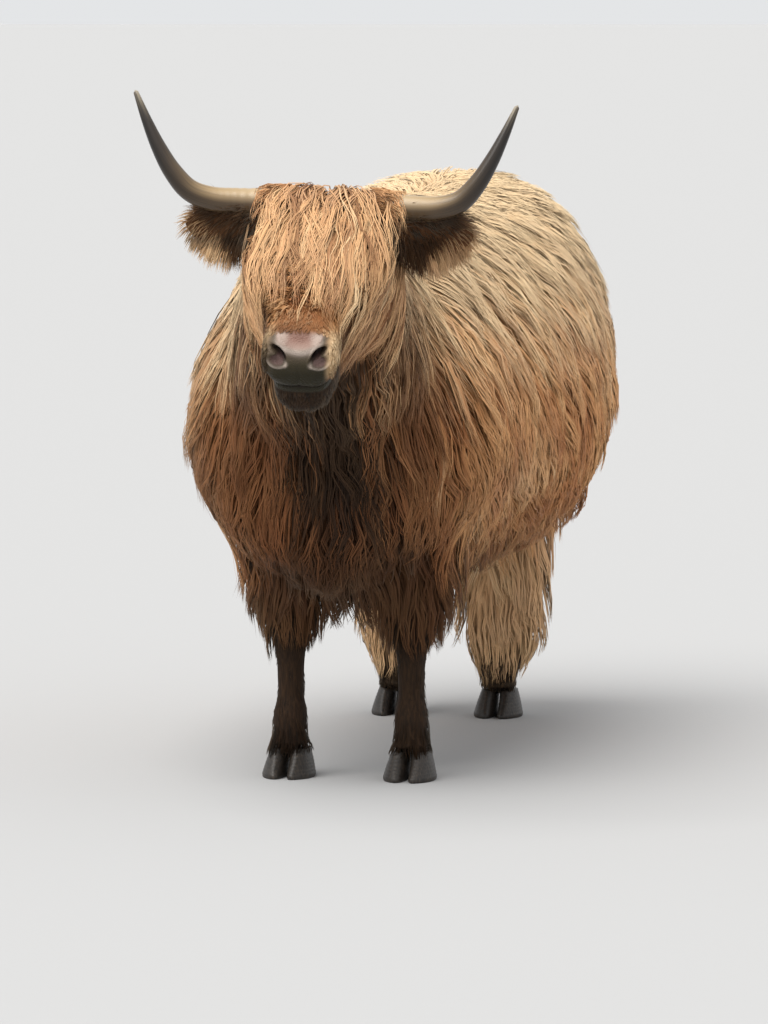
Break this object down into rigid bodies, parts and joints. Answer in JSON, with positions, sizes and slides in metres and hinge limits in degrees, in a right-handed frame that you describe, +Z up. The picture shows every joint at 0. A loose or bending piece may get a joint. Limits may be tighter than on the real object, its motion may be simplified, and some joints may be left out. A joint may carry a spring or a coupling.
{
  "type": "highland cow model",
  "caption": "Life-size still model of a standing highland cow with long ginger coat, upswept horns and cloven hooves, head turned to look ahead.",
  "frame": {"origin": "middle of the underside, on the floor between the four feet", "axes": "+Z up, the face looks along -Y, the left side of the animal is on +X"},
  "size_m": [0.818, 2.2188, 1.4003],
  "materials": {
    "coat": "long wavy ginger hair, golden at the tips and deep brown at the roots",
    "dark_leg": "short, wet, nearly black hair below the knees",
    "nose": "moist pebbled mauve-grey nose pad with a pinkish-tan band above it",
    "bare_skin": "thinly haired pinkish skin",
    "horn": "polished horn, cream at the base, grey-brown in the middle, pale at the tip",
    "eye": "wet dark brown",
    "hoof": "dull dark horn with growth rings"
  },
  "bodies": {
    "root": {"hindquarters": "coat", "barrel": "coat", "forequarters": "coat", "neck": "coat", "head": "coat", "forelock": "coat", "tail_dock": "coat", "tail_switch": "coat", "muzzle": "nose", "udder": "bare_skin", "ear_left": "coat", "horn_left": "horn", "eye_left": "eye", "leg_fore_left_upper": "coat", "leg_fore_left_lower": "dark_leg", "leg_hind_left_upper": "coat", "leg_hind_left_lower": "coat", "claw_fore_left_left": "hoof", "claw_fore_left_right": "hoof", "claw_hind_left_left": "hoof", "claw_hind_left_right": "hoof", "ear_right": "coat", "horn_right": "horn", "eye_right": "eye", "leg_fore_right_upper": "coat", "leg_fore_right_lower": "dark_leg", "leg_hind_right_upper": "coat", "leg_hind_right_lower": "coat", "claw_fore_right_left": "hoof", "claw_fore_right_right": "hoof", "claw_hind_right_left": "hoof", "claw_hind_right_right": "hoof"}
  },
  "joints": []
}
